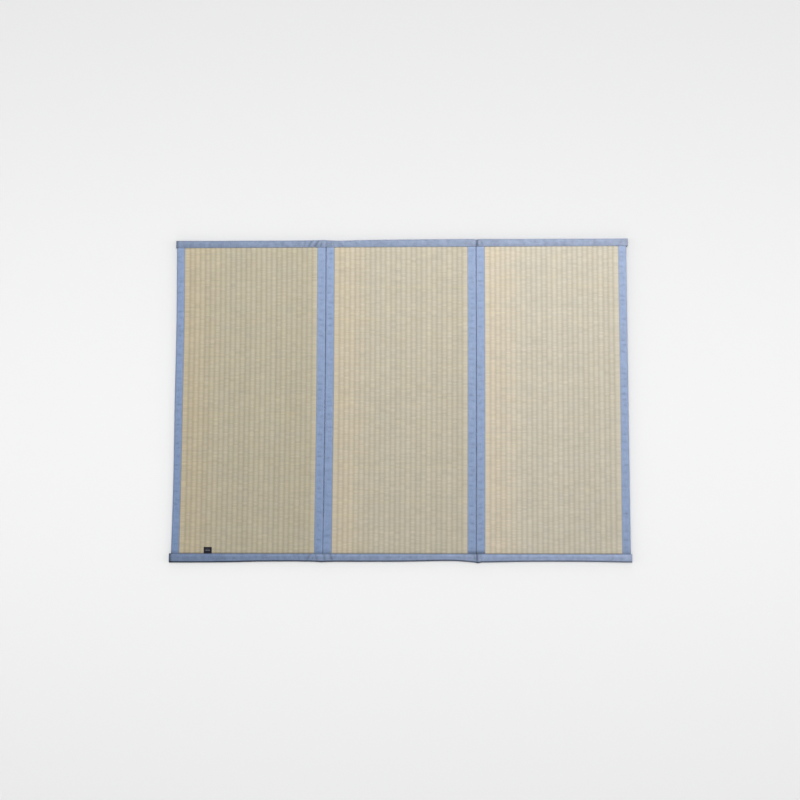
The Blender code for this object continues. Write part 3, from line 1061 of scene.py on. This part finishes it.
def buildBand(number, material, threadMaterial):
    band = endBands[number]
    rng = Random(140 + number)
    side = band["side"]
    inner = side * matLayout["rushDepth"] / 2
    left = lineX(0, inner)
    right = lineX(matLayout["panels"], inner)
    puckers = makePuckers(rng, left, right, endBand["puckerEvery"])
    sections = []
    spots = []
    tops = []
    for x in bandStations(band):
        past = max((left - x) / band["leftOver"], (x - right) / band["rightOver"], 0.0)
        openness = sqrt(max(1.0 - past * past, 0.0))
        width = band["width"] + smoothValue(x, band["unevenSpots"], band["standOut"])
        foldStart = width - band["foldRadius"]
        fullTop = bandTop(band, x)
        thick = clothTape["thickness"]
        space = endBand["endSlit"] + openness * (fullTop - 2 * thick - endBand["endSlit"])
        middle = fullTop / 2
        swell = 0.6 * noise.noise(Vector((x * 14.0, number * 2.9, 4.5)))

        def dipAt(reach):
            dip = puckerDip(puckers, x, reach, width, endBand["puckerDepth"], endBand["puckerReach"])
            for place, slant, depth, wide in band["creases"]:
                away = x - place - slant * (reach - width / 2)
                if abs(away) < 4 * wide:
                    dip += depth * bell(away, 0.0, wide) * ramp(reach, -0.002, 0.004)
                    dip -= depth * 0.5 * bell(away, wide * 2.1, wide) * ramp(reach, 0.0, 0.004)
            return dip * (1.0 - ramp(reach, foldStart, width - 0.001)) * openness

        def relief(reach):
            return crownedRelief(band, reach, width, swell) * openness - dipAt(reach)

        outside = space / 2 + thick
        radius = band["foldRadius"]
        profile = tapeProfile(width, middle - outside, middle + outside, space, relief, radius)
        sections.append([Vector((x, inner + side * reach, z)) for reach, z in profile])
        # painted shade at the band's left end and at the joint mark
        place, wide, amount = band["jointShadeMark"]
        extraShade = band["leftEndShade"] * (1.0 - ramp(x - left, *band["leftEndShadeReach"]))
        extraShade += amount * bell(x, place, wide)
        atLeft, atRight = band["foldEdgeShade"]
        foldEdgeShade = atLeft + (atRight - atLeft) * (x - left) / (right - left)
        depth = endBand["creaseDepth"]
        spots.append(weaveSpots(profile, x + 10 + number, dipAt, depth, foldEdgeShade, extraShade))
        if left <= x <= right:
            tops.append((x, fullTop + relief(clothTape["stitchLine"])))
    form = loftSections(sections, spots)
    piece = finishPiece("folded_" + band["node"], form, material, band["node"])

    def stitchPlace(x):
        z = smoothValue(x, *zip(*tops))
        return Vector((x, inner + side * clothTape["stitchLine"], z))

    sewn = (left + endBand["sewnFrom"], right - endBand["sewnFrom"])
    stitches = sewStitches("stitches_" + band["node"], stitchPlace, *sewn, threadMaterial, rng)


bandMaterials = [makeClothMaterial(cloth) for cloth in (farBandCloth, nearBandCloth)]
for number, material in enumerate(bandMaterials):
    buildBand(number, material, threadMaterial)
print("End bands folded and sewn")

# ---- label

sewnLabel = {
    "size": (0.023, 0.018),
    "thickness": 0.0005,
    "height": 0.0095,
    "fromRushEdge": 0.072,
    "curl": 0.00012,
    "darkColour": (0.008, 0.008, 0.016, 1.0),
    "paleColour": (0.20, 0.20, 0.24, 1.0),
    "thread": 0.00035,
    "barReach": 0.0065,
    "bars": ((0.0072, 0.0088), (0.0112, 0.0120)),
}


def makeLabelMaterial():
    # dark woven label with two plain pale woven bars and no lettering
    material, shader = newMaterial("dark label cloth")
    tree = material.node_tree
    weave = weavePlace(tree)
    flat = splitVector(tree, weave)
    threads = placeGroup(tree, plainWeave, Place=weave, Thread=sewnLabel["thread"])
    near = mathNode(tree, "LESS_THAN", mathNode(tree, "ABSOLUTE", flat[0]), sewnLabel["barReach"])
    bars = 0.0
    for low, high in sewnLabel["bars"]:
        above = mathNode(tree, "GREATER_THAN", flat[1], low)
        below = mathNode(tree, "LESS_THAN", flat[1], high)
        bar = mathNode(tree, "MULTIPLY", mathNode(tree, "MULTIPLY", above, below), near)
        bars = mathNode(tree, "MAXIMUM", bars, bar)
    thread = rangeNode(tree, threads.outputs["Across"], 0.0, 1.0, 0.55, 1.0)
    shown = mathNode(tree, "MULTIPLY", bars, thread)
    base = mixColours(tree, "MIX", shown, sewnLabel["darkColour"], sewnLabel["paleColour"])
    connect(tree, shader.inputs["Base Color"], base)
    shader.inputs["Roughness"].default_value = 0.7
    shader.inputs["Specular IOR Level"].default_value = 0.25
    addBump(tree, shader, threads.outputs["Height"], 0.3, 0.0001)
    return material


def buildLabel(material):
    width, length = sewnLabel["size"]
    near = -matLayout["rushDepth"] / 2 + rushPanel["tapeGap"]
    left = lineX(0, near) + matLayout["jointGap"] / 2 + matLayout["tapeWidth"] + sewnLabel["fromRushEdge"]
    form = bmesh.new()
    weave = form.verts.layers.float_vector.new("weave")
    bmesh.ops.create_grid(form, x_segments=14, y_segments=12, size=0.5)
    for vert in form.verts:
        across = vert.co.x * width
        along = (vert.co.y + 0.5) * length
        vert[weave] = (across, along, 0.0)
        lift = sewnLabel["curl"] * (1.0 - cos(pi * (along / length))) * (0.6 + abs(vert.co.x))
        vert.co = (left + width / 2 + across, near + along, sewnLabel["height"] + lift)
    bmesh.ops.solidify(form, geom=list(form.faces), thickness=-sewnLabel["thickness"])
    return finishPiece("woven_label", form, material, "label")


labelPiece = buildLabel(makeLabelMaterial())
print("Label sewn in")

# ---- floor, light and camera

stageSet = {
    "floorSize": 14.0,
    "floorColour": (0.86, 0.86, 0.862, 1.0),
    "skyColour": (1.0, 1.0, 1.0, 1.0),
    "skyStrength": 0.34,
}

lowLamp = {"size": (5.0, 4.0), "power": 222.0, "lights": "floor"}  # one at each side of the floor
studioLights = (
    {"name": "overhead", "place": (0.0, 0.5, 6.2), "size": (4.0, 4.0), "power": 118.0, "lights": "all"},
    {"name": "softbox", "place": (0.6, 2.2, 2.2), "size": (1.0, 1.0), "power": 67.0, "lights": "mat"},
    {"name": "floor strip", "place": (0.0, -0.1, 1.6), "size": (10.0, 0.6), "power": 21.0,
     "lights": "floor"},
    {**lowLamp, "name": "low left", "place": (-9.0, 0.0, 2.6)},
    {**lowLamp, "name": "low right", "place": (9.0, 0.0, 2.6)},
    {**lowLamp, "name": "low near", "place": (0.0, -9.0, 2.6)},
    {**lowLamp, "name": "low far", "place": (0.0, 9.0, 2.6), "power": 188.0},
)


def buildStage():
    form = bmesh.new()
    bmesh.ops.create_grid(form, x_segments=1, y_segments=1, size=stageSet["floorSize"] / 2)
    material, shader = newMaterial("pale floor")
    shader.inputs["Base Color"].default_value = stageSet["floorColour"]
    shader.inputs["Roughness"].default_value = 0.95
    shader.inputs["Specular IOR Level"].default_value = 0.1
    floorPiece = addObject("floor", form, material)


def buildLights():
    world = bpy.data.worlds.new("studio")
    world.use_nodes = True
    sky = world.node_tree.nodes["Background"]
    sky.inputs["Color"].default_value = stageSet["skyColour"]
    sky.inputs["Strength"].default_value = stageSet["skyStrength"]
    bpy.context.scene.world = world
    lit = {name: bpy.data.collections.new("lit " + name) for name in ("mat", "floor")}
    for piece in bpy.context.scene.objects:
        if piece.type == "MESH":
            lit["floor" if piece.name == "floor" else "mat"].objects.link(piece)
    for light in studioLights:
        lamp = bpy.data.lights.new(light["name"], "AREA")
        lamp.shape = "RECTANGLE"
        lamp.size, lamp.size_y = light["size"]
        lamp.energy = light["power"]
        holder = bpy.data.objects.new(light["name"], lamp)
        holder.location = light["place"]
        holder.rotation_euler = (-Vector(light["place"])).to_track_quat("-Z", "Y").to_euler()
        holder.visible_camera = False
        if light["lights"] in lit:
            holder.light_linking.receiver_collection = lit[light["lights"]]
        bpy.context.scene.collection.objects.link(holder)


photoCamera = {
    "place": (0.18905, -0.67065, 4.92938),
    "right": (0.99929, 0.00355, -0.03758),
    "up": (0.00154, 0.99092, 0.13445),
    "look": (-0.03772, 0.13441, -0.99021),
    "lens": 77.27,
}


def buildCamera():
    data = bpy.data.cameras.new("photo camera")
    data.lens = photoCamera["lens"]
    data.sensor_width = 36.0
    data.clip_end = 60.0
    camera = bpy.data.objects.new("photo camera", data)
    back = -Vector(photoCamera["look"])
    axes = Matrix((photoCamera["right"], photoCamera["up"], back)).transposed()
    camera.matrix_world = Matrix.Translation(photoCamera["place"]) @ axes.to_4x4()
    bpy.context.scene.collection.objects.link(camera)
    bpy.context.scene.camera = camera


buildStage()
buildLights()
buildCamera()
bpy.context.scene.view_settings.view_transform = "Standard"
print("Stage, lights and camera set")
